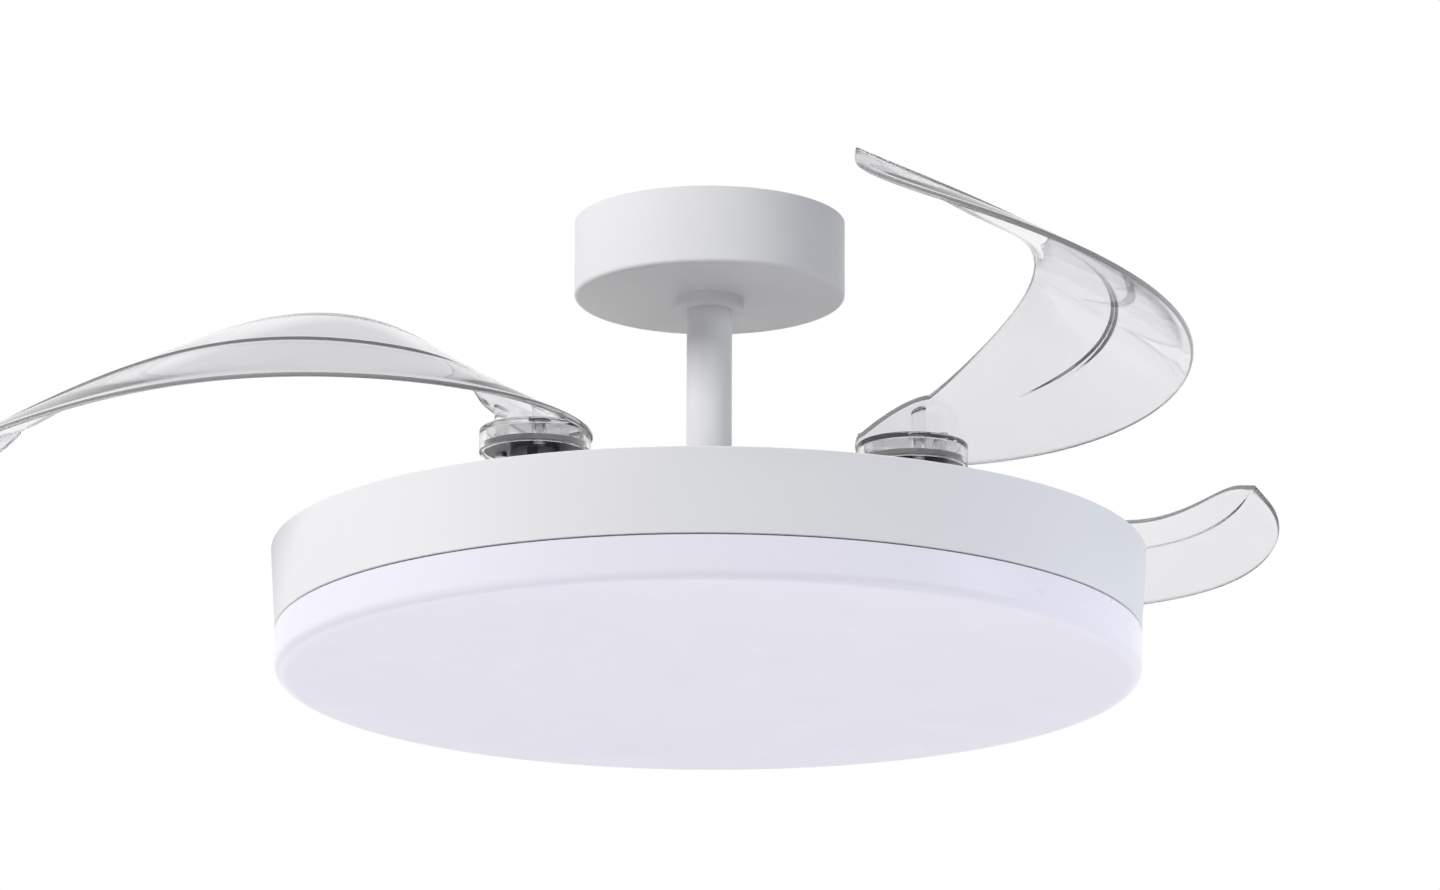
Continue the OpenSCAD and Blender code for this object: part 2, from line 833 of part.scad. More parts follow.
screw_at = 21;
module blade_hub(i) {
    color(dark)
        at_blade(i)
            difference() {
                union() {
                    rod_solid(hub_barrel_r, hub_z, hub_top - hub_z);
                    rod_solid(disc_r, hub_top - hub_disc_t, hub_disc_t);
                    rotate([0, 0, lug_az])
                        translate([0, -lug_w / 2, lug_z])
                            cube([lug_len, lug_w, lug_h - 1.5]);
                }
                rod_solid(pivot_shaft_r + 0.02, hub_z - 1, hub_top - hub_z + 2);
                around(3, screw_at, 60)
                    rod_solid(2.1, hub_top - hub_disc_t - 1, hub_disc_t + 2);
            }
}
module blade_hub_1() { blade_hub(1); }
module blade_hub_2() { blade_hub(2); }
module blade_hub_3() { blade_hub(3); }

module blade_screws(i) {
    color(steel)
        at_blade(i)
            around(3, screw_at, 60)
                translate([0, 0, hub_top - hub_disc_t])
                    rotate([180, 0, 0])
                        cap_screw(3.4, 1.8, 1.98, hub_disc_t + 5);
}
module blade_screws_1() { blade_screws(1); }
module blade_screws_2() { blade_screws(2); }
module blade_screws_3() { blade_screws(3); }

// The clear blade: a sloping curved sheet on a round hollow boss. The boss has
// a lid, screw pillars up to the sheet, and a skirt round the hub's disc.
boss_lid = 2.5;
pillar_r = 4.2;
skirt_drop = hub_disc_t + 1.5;
// Everything below the middle plane of the sheet's sloping root.
module below_root() {
    size = 4 * root_r;
    translate([0, 0, sheet_level])
        rotate(heading(0))
            rotate([-pitch(0), -atan(root_climb), 0])
                translate([-size / 2, -size / 2, -size])
                    cube(size);
}
module boss() {
    hollow = boss_h - boss_lid;
    difference() {
        rod_solid(boss_r, hub_top - skirt_drop, boss_h + skirt_drop);
        rod_solid(boss_r - boss_wall, hub_top - 1, hollow + 1);
        rod_solid(disc_r + gap, hub_top - skirt_drop - 1, skirt_drop + 1);
    }
    around(3, screw_at, 60)
        difference() {
            rod_solid(pillar_r, hub_top, 4 * boss_h);
            rod_solid(2, hub_top - 1, hollow);
        }
}
module blade(i) {
    color(clear)
        at_blade(i)
            union() {
                translate([0, 0, sheet_level])
                    skin(blade_rings);
                intersection() {
                    boss();
                    below_root();
                }
            }
}
module blade_1() { blade(1); }
module blade_2() { blade(2); }
module blade_3() { blade(3); }

// ---------- drum and lamp ----------
function wall_at(h) = drum_r + drum_flare * (h + drum_h) / drum_h;
module drum_band() {
    w = drum_wall;
    color(white)
        at_drum()
            rotate_extrude($fn = 180)
                polygon([[drum_r, -drum_h], [drum_r + drum_flare, 0],
                    [drum_r + drum_flare - drum_lip, 0], [drum_r + drum_flare - drum_lip, -w],
                    [drum_r + drum_flare - w, -w], [drum_r - w, -drum_h + w],
                    [drum_r - drum_lip, -drum_h + w], [drum_r - drum_lip, -drum_h]]);
}
cover_r = drum_r - 12;
collar_in = bell_r + 6;
post_at = cover_r - 10;
module inner_cover() {
    t = drum_wall;
    color(white)
        at_drum()
            difference() {
                rotate_extrude($fn = 180)
                    polygon([[collar_in, flange_z], [collar_in + t, flange_z],
                        [collar_in + t, cover_top - t], [cover_r - t, cover_top - t],
                        [cover_r - t, flange_z], [cover_r, flange_z], [cover_r, cover_top],
                        [collar_in, cover_top]]);
                around(4, post_at, 45)
                    rod_solid(1.7, cover_top - t - 1, t + 2);
            }
}
module cover_screws() {
    color(steel)
        at_drum()
            around(4, post_at, 45)
                translate([0, 0, cover_top])
                    cap_screw(3, 1.8, 1.48, 10);
}
module lamp_chassis() {
    t = chassis_t;
    outer = wall_at(chassis_z) - drum_wall - gap;
    color(white)
        at_drum()
            difference() {
                union() {
                    rotate_extrude($fn = 180)
                        polygon([[shaft_r + 0.05, chassis_z], [outer, chassis_z],
                            [outer, chassis_z + 11], [outer - t, chassis_z + 11],
                            [outer - t, chassis_z + t], [shaft_r + 0.05, chassis_z + t]]);
                    around(4, post_at, 45)
                        rod_solid(4, flange_z - eps, cover_top - drum_wall - flange_z + eps);
                }
                around(4, post_at, 45)
                    rod_solid(1.5, cover_top - drum_wall - 12, 13);
                around(3, flange_r - 5)
                    rod_solid(2.6, chassis_z - 1, t + 2);
                around(6, led_screw_at, 15)
                    rod_solid(1.5, chassis_z - 1, t + 2);
            }
}
module chassis_screws() {
    color(steel)
        at_drum()
            around(3, flange_r - 5)
                translate([0, 0, chassis_z])
                    rotate([180, 0, 0])
                        cap_screw(4, 2.4, 2.48, chassis_t + flange_t);
}
board_t = 1.6;
board_in = bell_r - 14;
board_out = drum_r - 45;
board_w = board_out - board_in;
led_screw_at = board_in + 0.36 * board_w;
module led_board() {
    color([0.95, 0.95, 0.93])
        at_drum()
            difference() {
                tube(board_out, board_in, chassis_z - board_t, board_t);
                around(6, led_screw_at, 15)
                    rod_solid(1.7, chassis_z - board_t - 1, board_t + 2);
            }
}
// Share of the board's width and number of chips of each ring.
led_rings = [[0.16, 18], [0.53, 28], [0.87, 36]];
module led_chips() {
    chip = 3;
    color([0.98, 0.93, 0.7])
        at_drum()
            for (ring = led_rings)
                around(ring[1], board_in + ring[0] * board_w)
                    translate([-chip / 2, -chip / 2, chassis_z - board_t - 1])
                        cube([chip, chip, 1]);
}
module led_screws() {
    color(steel)
        at_drum()
            around(6, led_screw_at, 15)
                translate([0, 0, chassis_z - board_t])
                    rotate([180, 0, 0])
                        cap_screw(3, 1.6, 1.48, board_t + chassis_t + 3);
}
driver = [120, 42, 26];
receiver = [70, 34, 20];
driver_az = 90;
receiver_az = 210;
box_at = (collar_in + cover_r) / 2;
ear = 10;
module ear_box(size) {
    translate([-size[0] / 2, -size[1] / 2, 0])
        cube(size);
    difference() {
        translate([-size[0] / 2 - ear, -8, 0])
            cube([size[0] + 2 * ear, 16, 2]);
        for (side = [-1, 1])
            translate([side * (size[0] + ear) / 2, 0, -1])
                cylinder(r = 2.1, h = 4, $fn = 32);
    }
}
module on_chassis(az) {
    at_drum()
        rotate([0, 0, az])
            translate([box_at, 0, flange_z])
                rotate([0, 0, 90])
                    children();
}
module driver_box() {
    color([0.9, 0.9, 0.88])
        on_chassis(driver_az)
            ear_box(driver);
}
module receiver_box() {
    color([0.86, 0.87, 0.88])
        on_chassis(receiver_az)
            ear_box(receiver);
}
module box_screws() {
    color(steel) {
        on_chassis(driver_az)
            for (side = [-1, 1])
                translate([side * (driver[0] + ear) / 2, 0, 2])
                    cap_screw(3.4, 2, 1.98, 2);
        on_chassis(receiver_az)
            for (side = [-1, 1])
                translate([side * (receiver[0] + ear) / 2, 0, 2])
                    cap_screw(3.4, 2, 1.98, 2);
    }
}
rim_z = -drum_h - seal_t;
bead_z = rim_z - 10;
module diffuser() {
    w = diffuser_wall;
    b = diffuser_round;
    low = rim_z - diffuser_h;
    color([0.93, 0.92, 0.97])
        at_drum()
            rotate_extrude($fn = 180)
                difference() {
                    union() {
                        translate([0, low])
                            square([drum_r - b, b]);
                        translate([drum_r - b, low + b])
                            circle(r = b, $fn = 64);
                        translate([0, low + b])
                            square([drum_r, diffuser_h - b]);
                    }
                    difference() {
                        translate([-1, low + w])
                            square([drum_r - w + 1, diffuser_h]);
                        translate([drum_r - w - 3, bead_z])
                            square([4, 2]);
                        translate([drum_r - b, low])
                            difference() {
                                square([b, b]);
                                translate([0, b])
                                    circle(r = b - w, $fn = 64);
                            }
                    }
                    translate([-9, low - 1])
                        square([9, diffuser_h + 2]);
                }
}
module diffuser_clips() {
    leg = drum_r - drum_lip - 2;
    foot = leg - 26;
    hook = drum_r - diffuser_wall - 1.2;
    hook_z = bead_z - gap;
    strip = 1.5;
    color(steel)
        at_drum()
            for (az = [30 : 90 : 300])
                rotate([90, 0, az])
                    translate([0, 0, -6])
                        linear_extrude(12)
                            polygon([[foot, chassis_z], [leg, chassis_z], [leg, hook_z],
                                [hook, hook_z], [hook, hook_z - strip],
                                [leg - strip, hook_z - strip], [leg - strip, chassis_z - strip],
                                [foot, chassis_z - strip]]);
}
module diffuser_seal() {
    color([0.55, 0.55, 0.58])
        at_drum()
            tube(drum_r - 1.4, drum_r - 6, rim_z, seal_t);
}

ceiling_plate();
terminal_block();
terminal_screws();
canopy();
canopy_screws();
canopy_collar();
collar_screw();
downrod();
hanger_bolt();
hanger_nut();
shaft_coupling();
coupling_pin();
coupling_clip();
motor_shaft();
shaft_nut();
stator_core();
stator_windings();
motor_bell();
rotor_cap();
rotor_magnets();
bell_screws();
bearing_inner_races();
bearing_outer_races();
bearing_balls();
blade_carrier();
carrier_screws();
pivot_bushes();
stop_buffers();
return_springs();
sync_gear();
blade_gear_1();
blade_gear_2();
blade_gear_3();
pivot_shaft_1();
pivot_shaft_2();
pivot_shaft_3();
blade_hub_1();
blade_hub_2();
blade_hub_3();
blade_screws_1();
blade_screws_2();
blade_screws_3();
blade_1();
blade_2();
blade_3();
drum_band();
inner_cover();
cover_screws();
lamp_chassis();
chassis_screws();
led_board();
led_chips();
led_screws();
driver_box();
receiver_box();
box_screws();
diffuser();
diffuser_clips();
diffuser_seal();
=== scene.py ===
import bpy
import json
import math
import numpy as np
from mathutils import Matrix, Vector


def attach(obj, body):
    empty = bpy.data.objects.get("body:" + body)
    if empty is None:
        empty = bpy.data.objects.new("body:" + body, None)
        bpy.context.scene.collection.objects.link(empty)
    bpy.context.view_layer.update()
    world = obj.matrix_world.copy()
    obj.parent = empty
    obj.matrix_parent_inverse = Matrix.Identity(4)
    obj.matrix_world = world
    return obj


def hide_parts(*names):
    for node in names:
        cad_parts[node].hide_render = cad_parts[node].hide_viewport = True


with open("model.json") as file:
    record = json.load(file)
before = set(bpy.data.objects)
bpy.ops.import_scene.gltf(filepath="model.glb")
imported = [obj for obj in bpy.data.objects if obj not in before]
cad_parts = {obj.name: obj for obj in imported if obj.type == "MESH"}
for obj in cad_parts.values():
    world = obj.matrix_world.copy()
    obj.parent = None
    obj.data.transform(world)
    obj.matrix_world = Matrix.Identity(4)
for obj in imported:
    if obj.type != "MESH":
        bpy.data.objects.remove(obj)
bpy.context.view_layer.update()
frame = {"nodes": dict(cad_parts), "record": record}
nodes = frame["nodes"]
MM = 0.001

# ---------- camera: the photograph's view ----------
WIDTH, HEIGHT = 1440, 890
SENSOR_MM = 36
FOCAL_PX = 7565.4
TARGET_U, TARGET_V = 708.7, 636.6
DISTANCE, ELEVATION, ROLL = 4.369, 0.22965, 0.00327
TARGET_Z = -0.248
cam_data = bpy.data.cameras.new("camera")
cam = bpy.data.objects.new("camera", cam_data)
bpy.context.scene.collection.objects.link(cam)
cam_data.sensor_fit = "HORIZONTAL"
cam_data.sensor_width = SENSOR_MM
cam_data.lens = FOCAL_PX / WIDTH * SENSOR_MM
cam_data.clip_end = 60
tilt = ELEVATION + math.atan((TARGET_V - HEIGHT / 2) / FOCAL_PX)
pan = -math.atan((WIDTH / 2 - TARGET_U) / FOCAL_PX)
place = Vector((0, -DISTANCE * math.cos(ELEVATION), TARGET_Z - DISTANCE * math.sin(ELEVATION)))
cam.matrix_world = (Matrix.Translation(place) @ Matrix.Rotation(pan, 4, "Z")
                    @ Matrix.Rotation(math.pi / 2 + tilt, 4, "X") @ Matrix.Rotation(ROLL, 4, "Z"))
bpy.context.scene.camera = cam


# ---------- node helpers ----------
class Mat:
    """A Principled material with short calls for the nodes that feed it."""

    def __init__(self, name, base, rough, metal=0.0):
        self.m = bpy.data.materials.new(name)
        self.m.use_nodes = True
        self.nt = self.m.node_tree
        self.b = self.nt.nodes["Principled BSDF"]
        self.set("Base Color", (*base, 1))
        self.set("Roughness", rough)
        self.set("Metallic", metal)
        self.co = self.nt.nodes.new("ShaderNodeTexCoord").outputs["Object"]

    def set(self, key, value):
        self.b.inputs[key].default_value = value

    def link(self, a, b):
        self.nt.links.new(a, b)

    def mapping(self, scale):
        n = self.nt.nodes.new("ShaderNodeMapping")
        n.inputs["Scale"].default_value = scale
        self.link(self.co, n.inputs["Vector"])
        return n.outputs[0]

    def noise(self, scale, detail=3, rough=0.55, vec=None):
        n = self.nt.nodes.new("ShaderNodeTexNoise")
        n.inputs["Scale"].default_value = scale
        n.inputs["Detail"].default_value = detail
        n.inputs["Roughness"].default_value = rough
        self.link(vec or self.co, n.inputs["Vector"])
        return n.outputs["Fac"]

    def voronoi(self, scale, out="Distance"):
        n = self.nt.nodes.new("ShaderNodeTexVoronoi")
        n.inputs["Scale"].default_value = scale
        self.link(self.co, n.inputs["Vector"])
        return n.outputs[out]

    def wave(self, scale, direction, kind="BANDS", distort=0.0):
        n = self.nt.nodes.new("ShaderNodeTexWave")
        n.wave_type = kind
        if kind == "BANDS":
            n.bands_direction = direction
        else:
            n.rings_direction = direction
        n.inputs["Scale"].default_value = scale
        n.inputs["Distortion"].default_value = distort
        self.link(self.co, n.inputs["Vector"])
        return n.outputs["Fac"]

    def ramp(self, fac, *stops):
        n = self.nt.nodes.new("ShaderNodeValToRGB")
        while len(n.color_ramp.elements) < len(stops):
            n.color_ramp.elements.new(0.5)
        for e, (at, c) in zip(n.color_ramp.elements, stops):
            e.position = at
            e.color = (c, c, c, 1) if isinstance(c, (int, float)) else (*c, 1)
        self.link(fac, n.inputs[0])
        return n.outputs[0]

    def math(self, op, a, b):
        n = self.nt.nodes.new("ShaderNodeMath")
        n.operation = op
        for i, v in enumerate((a, b)):
            if isinstance(v, (int, float)):
                n.inputs[i].default_value = v
            else:
                self.link(v, n.inputs[i])
        return n.outputs[0]

    def mix(self, fac, a, b):
        n = self.nt.nodes.new("ShaderNodeMix")
        n.data_type = "RGBA"
        for key, v in ((0, fac), (6, a), (7, b)):
            if isinstance(v, tuple):
                n.inputs[key].default_value = (*v, 1)
            elif isinstance(v, (int, float)):
                n.inputs[key].default_value = v
            else:
                self.link(v, n.inputs[key])
        return n.outputs[2]

    def color(self, socket):
        self.link(socket, self.b.inputs["Base Color"])
        return self

    def rough(self, fac, low, high):
        self.link(self.ramp(fac, (0.25, low), (0.75, high)), self.b.inputs["Roughness"])
        return self

    def bump(self, height, strength, distance):
        n = self.nt.nodes.new("ShaderNodeBump")
        n.inputs["Strength"].default_value = strength
        n.inputs["Distance"].default_value = distance
        self.link(height, n.inputs["Height"])
        if self.b.inputs["Normal"].links:
            self.link(self.b.inputs["Normal"].links[0].from_socket, n.inputs["Normal"])
        self.link(n.outputs[0], self.b.inputs["Normal"])
        return self

    def varied(self, base, dark, scale):
        fac = self.noise(scale, 4)
        low = tuple(c * dark for c in base)
        return self.color(self.ramp(fac, (0.3, low), (0.7, base)))


def scaled(c, k):
    return tuple(v * k for v in c)


# ---------- materials, one per finish ----------
def painted(name, base, rough):
    m = Mat(name, base, rough)
    m.set("Specular IOR Level", 0.25)
    # painted highlight: convex edges, found by pointiness, are mixed slightly towards a lighter
    # white
    edge_sharpness = m.nt.nodes.new("ShaderNodeNewGeometry").outputs["Pointiness"]
    edge_highlight = m.ramp(edge_sharpness, (0.5, 0.0), (0.58, 1.0))
    body = m.ramp(m.noise(7, 3), (0.3, scaled(base, 0.975)), (0.7, base))
    m.color(m.mix(m.math("MULTIPLY", edge_highlight, 0.12), body, scaled(base, 1.04)))
    m.rough(m.noise(38, 4), rough - 0.05, rough + 0.06)
    return m.bump(m.noise(1500, 2), 0.05, 0.0004)


def metal(name, base, rough, streak=(600, 600, 4000), depth=0.08):
    m = Mat(name, base, rough, 1.0)
    m.color(m.ramp(m.noise(30, 5), (0.3, scaled(base, 0.86)), (0.72, base)))
    lines = m.noise(1, 4, 0.6, m.mapping(streak))
    m.rough(lines, rough * 0.8, rough * 1.3)
    return m.bump(lines, depth, 0.0002)


white_paint = painted("white_paint", (0.83, 0.83, 0.84), 0.42)
screw_paint = painted("white_screw_paint", (0.74, 0.74, 0.75), 0.42)
ground = metal("ground_steel", (0.68, 0.69, 0.71), 0.2)
dark_metal = metal("hub_casting", (0.17, 0.17, 0.18), 0.36, (90, 90, 90), 0.2)
carrier_metal = metal("plated_carrier", (0.5, 0.51, 0.53), 0.33, (35, 900, 35))
zinc = Mat("zinc_plate", (0.6, 0.61, 0.64), 0.3, 1.0)
zinc.color(zinc.ramp(zinc.voronoi(420, "Color"),
                     (0.2, (0.56, 0.57, 0.6)), (0.8, (0.63, 0.64, 0.67))))
zinc.rough(zinc.noise(160, 4), 0.24, 0.42).bump(zinc.noise(900, 3), 0.06, 0.0003)
black = Mat("black_coat", (0.022, 0.022, 0.025), 0.42, 0.0)
black.varied((0.026, 0.026, 0.03), 0.75, 40).rough(black.noise(90, 4), 0.34, 0.5)
black.bump(black.noise(1300, 3), 0.14, 0.0004)
core = Mat("stacked_core", (0.3, 0.31, 0.34), 0.45, 0.9)
core.bump(core.wave(314, "Z"), 0.5, 0.0004).varied((0.34, 0.35, 0.38), 0.8, 60)
copper = Mat("enamelled_copper", (0.62, 0.23, 0.09), 0.25, 0.85)
copper.set("Coat Weight", 0.6)
copper.color(copper.ramp(copper.noise(240, 3), (0.3, (0.45, 0.15, 0.06)), (0.7, (0.7, 0.28, 0.11))))
copper.bump(copper.wave(300, "Z", "BANDS", 1.5), 0.6, 0.0005)
magnet = Mat("nickel_magnet", (0.5, 0.5, 0.5), 0.25, 1.0)
magnet.varied((0.52, 0.51, 0.49), 0.85, 70).rough(magnet.noise(120), 0.18, 0.34)
brass = metal("turned_brass", (0.62, 0.45, 0.17), 0.28, (300, 300, 3000))
rubber = Mat("black_rubber", (0.018, 0.018, 0.019), 0.75)
rubber.varied((0.02, 0.02, 0.021), 0.7, 120).bump(rubber.noise(700, 4), 0.3, 0.0004)
nylon = Mat("moulded_gear", (0.72, 0.69, 0.6), 0.42)
nylon.set("Subsurface Weight", 0.15)
nylon.set("Subsurface Scale", 0.003)
nylon.varied((0.74, 0.71, 0.62), 0.93, 30).bump(nylon.noise(500, 3), 0.06, 0.0003)
terminal = Mat("terminal_plastic", (0.8, 0.8, 0.78), 0.45)
terminal.varied((0.8, 0.8, 0.78), 0.95, 60).bump(terminal.noise(800, 2), 0.1, 0.0003)
housing = Mat("box_plastic", (0.72, 0.72, 0.7), 0.5)
housing.varied((0.74, 0.74, 0.72), 0.95, 20).bump(housing.noise(1600, 2), 0.35, 0.0003)
board = Mat("board_mask", (0.82, 0.82, 0.8), 0.35)
board.varied((0.83, 0.83, 0.81), 0.96, 40)
tracks = board.ramp(board.wave(18, "Z", "RINGS"), (0.45, 0.0), (0.5, 1.0))
board.bump(tracks, 0.4, 0.0003)
led = Mat("led_phosphor", (0.9, 0.74, 0.25), 0.3)
led.varied((0.92, 0.76, 0.26), 0.85, 700).bump(led.noise(2500, 2), 0.2, 0.0002)
seal = Mat("foam_seal", (0.3, 0.3, 0.33), 0.85)
seal.varied((0.32, 0.32, 0.35), 0.6, 500).bump(seal.voronoi(900), 0.5, 0.0006)

diffuse_mat = Mat("frosted_diffuser", (0.62, 0.605, 0.69), 0.3)
diffuse_mat.color(diffuse_mat.ramp(diffuse_mat.noise(5, 2),
                                   (0.3, (0.61, 0.595, 0.68)), (0.7, (0.63, 0.615, 0.7))))
outward_from_axis = diffuse_mat.nt.nodes.new("ShaderNodeVectorMath")
outward_from_axis.operation = "LENGTH"
diffuse_mat.link(diffuse_mat.mapping((1, 1, 0)), outward_from_axis.inputs[0])
# light given off by distance from the axis, partly the lamp inside shining through and partly
# painted light that evens out the shading: a painted highlight as a bright band on the rounded
# lower corner, weaker on the flat underside and on the upright side
glow_and_painted_highlight = diffuse_mat.ramp(outward_from_axis.outputs["Value"],
                        (0.19, (0.53, 0.52, 0.6)), (0.244, (0.56, 0.55, 0.62)),
                        (0.2485, (0.83, 0.81, 0.9)), (0.2499, (0.46, 0.45, 0.46)))
diffuse_mat.link(glow_and_painted_highlight, diffuse_mat.b.inputs["Emission Color"])
diffuse_mat.set("Emission Strength", 0.45)
diffuse_mat.rough(diffuse_mat.noise(30, 3), 0.26, 0.34)


def clear(name, tint, rough, through, *tones):
    """Clear plastic: most light passes, and the tone follows the angle it is seen at."""
    m = Mat(name, tint, rough)
    m.set("IOR", 1.49)
    m.set("Transmission Weight", through)
    facing = m.nt.nodes.new("ShaderNodeLayerWeight")
    facing.inputs["Blend"].default_value = 0.5
    tone = m.ramp(facing.outputs["Facing"], *[(at, scaled(tint, k)) for at, k in tones])
    haze = m.ramp(m.noise(8, 3), (0.32, 0.955), (0.66, 1.0))
    m.color(m.mix(1.0, tone, haze))
    m.nt.nodes[-1].blend_type = "MULTIPLY"
    m.rough(m.noise(60, 4), rough * 0.7, rough * 1.5)
    m.bump(m.noise(16, 2), 0.03, 0.002)
    return m


SHEET_TINT, BOSS_TINT = (0.98, 0.968, 1.0), (0.985, 0.985, 0.99)
clear_sheet = clear("clear_blade", SHEET_TINT, 0.01, 0.94,
                    (0, 0.88), (0.3, 0.87), (0.6, 0.97), (0.95, 0.94))
# the upper faces get a copy with a darker band at middle viewing angles: painted shade on the
# blades' upper faces
clear_top_shaded = clear("clear_blade_top_shaded", SHEET_TINT, 0.01, 0.94,
                  (0, 0.88), (0.28, 0.87), (0.62, 0.5), (0.74, 0.52), (0.81, 0.86), (0.95, 0.92))
# rims and rib get greyer, less clear copies: painted shade standing in for the dark lines that
# refraction draws along them
clear_edge_shaded = clear("clear_blade_edge_shaded", (0.78, 0.78, 0.8), 0.05, 0.7, (0, 1.0), (0.95, 0.92))
clear_rib = clear("clear_blade_rib", (0.9, 0.89, 0.92), 0.03, 0.92, (0, 1.0), (0.95, 0.97))
clear_boss = clear("clear_boss", BOSS_TINT, 0.04, 0.97, (0, 1.0), (0.95, 0.95))
clear_post = clear("clear_post", BOSS_TINT, 0.04, 0.97, (0, 1.0), (0.95, 0.95))
# a lower index keeps thin sheets and the posts inside them from turning dark
clear_post.set("IOR", 1.12)
for sheet_mat in (clear_sheet, clear_top_shaded):
    sheet_mat.set("IOR", 1.35)

FINISH = {
    "zinc_steel": zinc, "bright_steel": ground, "dark_steel": black, "core_steel": core,
    "carrier_steel": carrier_metal, "hub_metal": dark_metal, "copper": copper,
    "magnet": magnet, "brass": brass, "black_rubber": rubber, "gear_plastic": nylon,
    "white_plastic": terminal, "box_plastic": housing, "board": board, "led": led,
    "clear_blade": clear_sheet, "diffuser": diffuse_mat, "seal": seal,
    "white_paint": white_paint, "white_screw": screw_paint,
}
slot_of = {s["node"]: s["material_slot"] for s in frame["record"]["subparts"]}
for name, obj in nodes.items():
    obj.data.materials.clear()
    obj.data.materials.append(FINISH[slot_of[name]].m)


# ---------- mesh helpers ----------
def make(name, verts, faces, mats, body, replaces=(), index=None):
    me = bpy.data.meshes.new(name)
    me.from_pydata([tuple(v) for v in np.asarray(verts, float) * MM], [], faces)
    me.validate()
    me.polygons.foreach_set("use_smooth", [True] * len(me.polygons))
    for m in mats:
        me.materials.append(m.m)
    if index is not None:
        me.polygons.foreach_set("material_index", index)
    me.update()
    obj = bpy.data.objects.new(name, me)
    bpy.context.scene.collection.objects.link(obj)
    mod = obj.modifiers.new("normals", "WEIGHTED_NORMAL")
    mod.keep_sharp = True
    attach(obj, body)
    if replaces:
        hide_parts(*replaces)
    return obj


def rounded(corners, closed=True, steps=5):
    """Points (r, z, fillet) to an outline whose corners are rounded off."""
    out, n = [], len(corners)
    for i, (r, z, f) in enumerate(corners):
        if f <= 0 or (not closed and i in (0, n - 1)):
            out.append((r, z))
            continue
        p = np.array((r, z), float)
        a = np.array(corners[i - 1][:2], float) - p
        b = np.array(corners[(i + 1) % n][:2], float) - p
        la, lb = np.linalg.norm(a), np.linalg.norm(b)
        a, b = a / la, b / lb
        half = math.acos(max(-1, min(1, float(a @ b)))) / 2
        cut = min(f / math.tan(half), 0.49 * la, 0.49 * lb)
        radius = cut * math.tan(half)
        mid = (a + b) / np.linalg.norm(a + b) * radius / math.sin(half)
        start, stop = a * cut - mid, b * cut - mid
        a0, a1 = math.atan2(start[1], start[0]), math.atan2(stop[1], stop[0])
        turn = (a1 - a0 + math.pi) % (2 * math.pi) - math.pi
        for k in range(steps + 1):
            t = a0 + turn * k / steps
            out.append(tuple(p + mid + radius * np.array((math.cos(t), math.sin(t)))))
    return out


def lathe(outline, seg, closed=True, centre=(0, 0)):
    """Vertices and faces of an outline (r, z) turned about the upright axis."""
    verts, faces, n = [], [], len(outline)
    for k in range(seg):
        a = 2 * math.pi * k / seg
        for r, z in outline:
            verts.append((centre[0] + r * math.cos(a), centre[1] + r * math.sin(a), z))
    for k in range(seg):
        a, b = k * n, (k + 1) % seg * n
        for i in range(n if closed else n - 1):
            j = (i + 1) % n
            face = [a + i, b + i, b + j, a + j]
            if outline[i][0] < 1e-6:
                face = [a + i, b + j, a + j]
            elif outline[j][0] < 1e-6:
                face = [a + i, b + i, a + j]
            faces.append(face)
    return verts, faces


def outward(obj):
    """Turns all faces outward and joins doubled points."""
    import bmesh
    bm = bmesh.new()
    bm.from_mesh(obj.data)
    bmesh.ops.remove_doubles(bm, verts=bm.verts, dist=1e-7)
    bmesh.ops.recalc_face_normals(bm, faces=bm.faces)
    bm.to_mesh(obj.data)
    bm.free()
    obj.data.update()
    return obj


# ---------- sizes repeated from the construction, in millimetres ----------
DROP, DRUM_R, FLARE, DRUM_H, WALL, LIP = 200, 250, 3, 48, 1.2, 9
RIM = -DRUM_H - 1
DIFF_H, DIFF_WALL, DIFF_ROUND = 25, 2.2, 6
BEAD_DOWN, BEAD_H, BEAD_IN = 10, 2, 3
PIVOT_R, PIVOT_AZ = 126, -22
ROOT_R, ROOT_LEVEL, ROOT_RISE, BLADE_T = 33, 54.5, 8.5, 3
BOSS_H, BOSS_R, BOSS_WALL, BOSS_LID, PILLAR_R, SCREW_AT = 9.5, 32, 4, 2.5, 4.2, 21
SKIRT_DROP, SKIRT_IN = 4.5, 29.3
BLADE_LEN, CAMBER, RIB_H, KEEP = 524, 3, 1.2, 0.97
HEADING = (38, -90, -107, -27, -192)
PITCH = (20, 54, 14, 28)
CLIMB = (0, 27, 77, -38, 59)
ROOT_W = ROOT_R / math.cos(math.radians(PITCH[0]))
INNER = (ROOT_W, 74, 36, 24)
OUTER = (ROOT_W, 60, 61, 38)
ROOT_CLIMB = 4 * CLIMB[1] / BLADE_LEN
BOW_FROM, BOW_FADE, TIP_PART, TIP_POWER = 0.03, 0.13, 0.12, 2.4
POST_FOOT, POST_MIN = 1.6, 4

# ---------- sizes of the visual blade alone ----------
CORE_W = 3.6                  # half width of the closely spaced middle strip
RIB_HALF, RIB_FROM, RIB_FADE = 2.4, 0.11, 0.06
RIM_H, RIM_W = 0.6, 2.4       # thickened rim: extra half thickness, width
COURSE_STEPS, ROOT_RINGS, SHEET_RINGS, TIP_RINGS = 2000, 14, 110, 30
SIDE_N, CORE_N = 14, 6        # points on each side, points on half the strip
RIB_PLAIN_RINGS = 28          # rings before the rib has its own material


